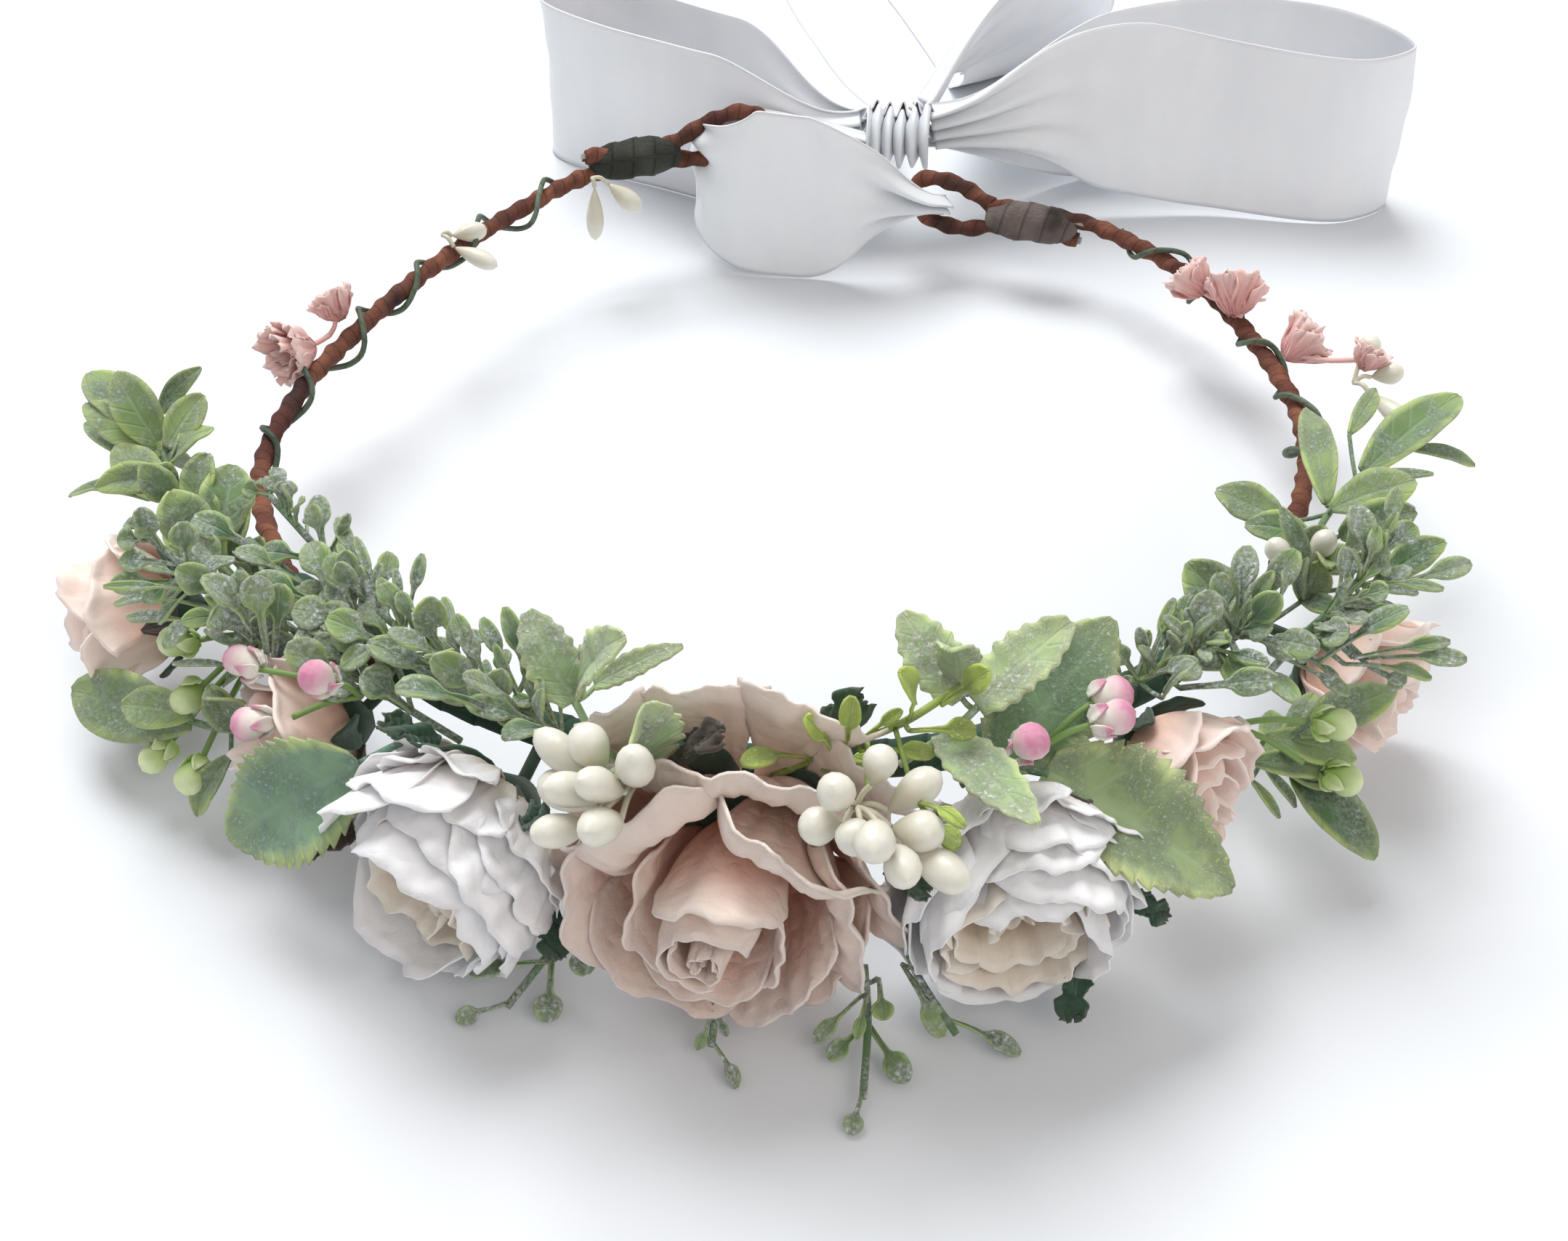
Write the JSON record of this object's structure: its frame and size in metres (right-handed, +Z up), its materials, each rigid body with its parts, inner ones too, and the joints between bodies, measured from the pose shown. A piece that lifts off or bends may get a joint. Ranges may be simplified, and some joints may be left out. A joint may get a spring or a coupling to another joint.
{
  "type": "flower crown",
  "caption": "Flower crown: paper-wrapped wire ring with paper flowers, berries, buds and frosted leaf sprigs on the front, closed at the back by a wide ribbon tied in a bow.",
  "frame": {"origin": "middle of the head opening, on the plane that the crown lies on", "axes": "+X to the right of the large rose as seen from the front, -Y out through the large rose, +Y towards the bow, +Z up through the head opening"},
  "size_m": [0.2533, 0.3795, 0.0605],
  "materials": {
    "steel_wire": "bare drawn steel wire",
    "rust_paper_wrap": "matte twisted kraft paper",
    "binding_tape": "matte waxed crepe tape",
    "green_wire": "satin coated wire",
    "stem_tape": "matte waxed crepe tape",
    "blush_mulberry_paper": "matte handmade paper",
    "sepal_paper": "matte dyed paper",
    "cream_mulberry_paper": "matte handmade paper",
    "white_mulberry_paper": "matte handmade paper",
    "berry": "satin moulded foam bead",
    "green_bud": "satin",
    "pink_bud": "satin",
    "foliage": "satin moulded foliage",
    "frosted_foliage": "matte flocked foliage",
    "satin_ribbon": "satin weave"
  },
  "bodies": {
    "crown": {"wire_core": "steel_wire", "paper_wrap": "rust_paper_wrap", "left_binding_tape": "binding_tape", "right_binding_tape": "binding_tape", "left_vine_wire": "green_wire", "right_vine_wire": "green_wire", "stem_tape": "stem_tape", "rose_bud": "blush_mulberry_paper", "rose_inner_petals": "blush_mulberry_paper", "rose_outer_petals": "blush_mulberry_paper", "rose_calyx": "sepal_paper", "left_peony_core": "cream_mulberry_paper", "left_peony_petals": "white_mulberry_paper", "left_peony_calyx": "sepal_paper", "right_peony_core": "cream_mulberry_paper", "right_peony_petals": "white_mulberry_paper", "right_peony_calyx": "sepal_paper", "left_inner_spray_rose": "blush_mulberry_paper", "left_inner_spray_calyx": "sepal_paper", "left_outer_spray_rose": "blush_mulberry_paper", "left_outer_spray_calyx": "sepal_paper", "right_inner_spray_rose": "blush_mulberry_paper", "right_inner_spray_calyx": "sepal_paper", "right_outer_spray_rose": "blush_mulberry_paper", "right_outer_spray_calyx": "sepal_paper", "left_berries": "berry", "right_berries": "berry", "left_pips": "berry", "left_back_pips": "berry", "right_pips": "berry", "right_back_pips": "berry", "left_green_buds": "green_bud", "left_rose_buds": "pink_bud", "right_rose_buds": "pink_bud", "right_green_buds": "green_bud", "left_blossom": "pink_bud", "right_blossom": "pink_bud", "right_back_blossom": "pink_bud", "left_boxwood_sprig": "foliage", "left_frosted_sprig": "frosted_foliage", "left_inner_sprig": "frosted_foliage", "left_outer_leaves": "foliage", "left_serrated_leaf": "foliage", "left_felt_leaves": "foliage", "centre_light_sprig": "foliage", "right_felt_leaves": "foliage", "right_rose_leaves": "foliage", "right_inner_sprig": "frosted_foliage", "right_upper_sprig": "frosted_foliage", "right_boxwood_sprig": "foliage", "right_low_leaves": "foliage", "front_hanging_sprig": "foliage", "front_left_hanging_sprig": "foliage", "front_right_hanging_sprig": "foliage", "ribbon_strap": "satin_ribbon", "ribbon_knot": "satin_ribbon"},
    "left_loop": {"left_loop": "satin_ribbon"},
    "right_loop": {"right_loop": "satin_ribbon"},
    "left_tail": {"left_tail": "satin_ribbon"},
    "right_tail": {"right_tail": "satin_ribbon"}
  },
  "joints": [
    {"name": "left_loop_lift", "type": "hinge", "parent": "crown", "child": "left_loop", "pos_m": [0.014, 0.102, 0.027], "axis": [0, 1, 0], "range_deg": [0, 70]},
    {"name": "right_loop_lift", "type": "hinge", "parent": "crown", "child": "right_loop", "pos_m": [0.034, 0.102, 0.027], "axis": [0, -1, 0], "range_deg": [0, 70]},
    {"name": "left_tail_swing", "type": "hinge", "parent": "crown", "child": "left_tail", "pos_m": [0.0205, 0.1075, 0.021], "axis": [1, 0, 0], "range_deg": [0, 60]},
    {"name": "right_tail_swing", "type": "hinge", "parent": "crown", "child": "right_tail", "pos_m": [0.0275, 0.1075, 0.023], "axis": [1, 0, 0], "range_deg": [-30, 25]}
  ]
}
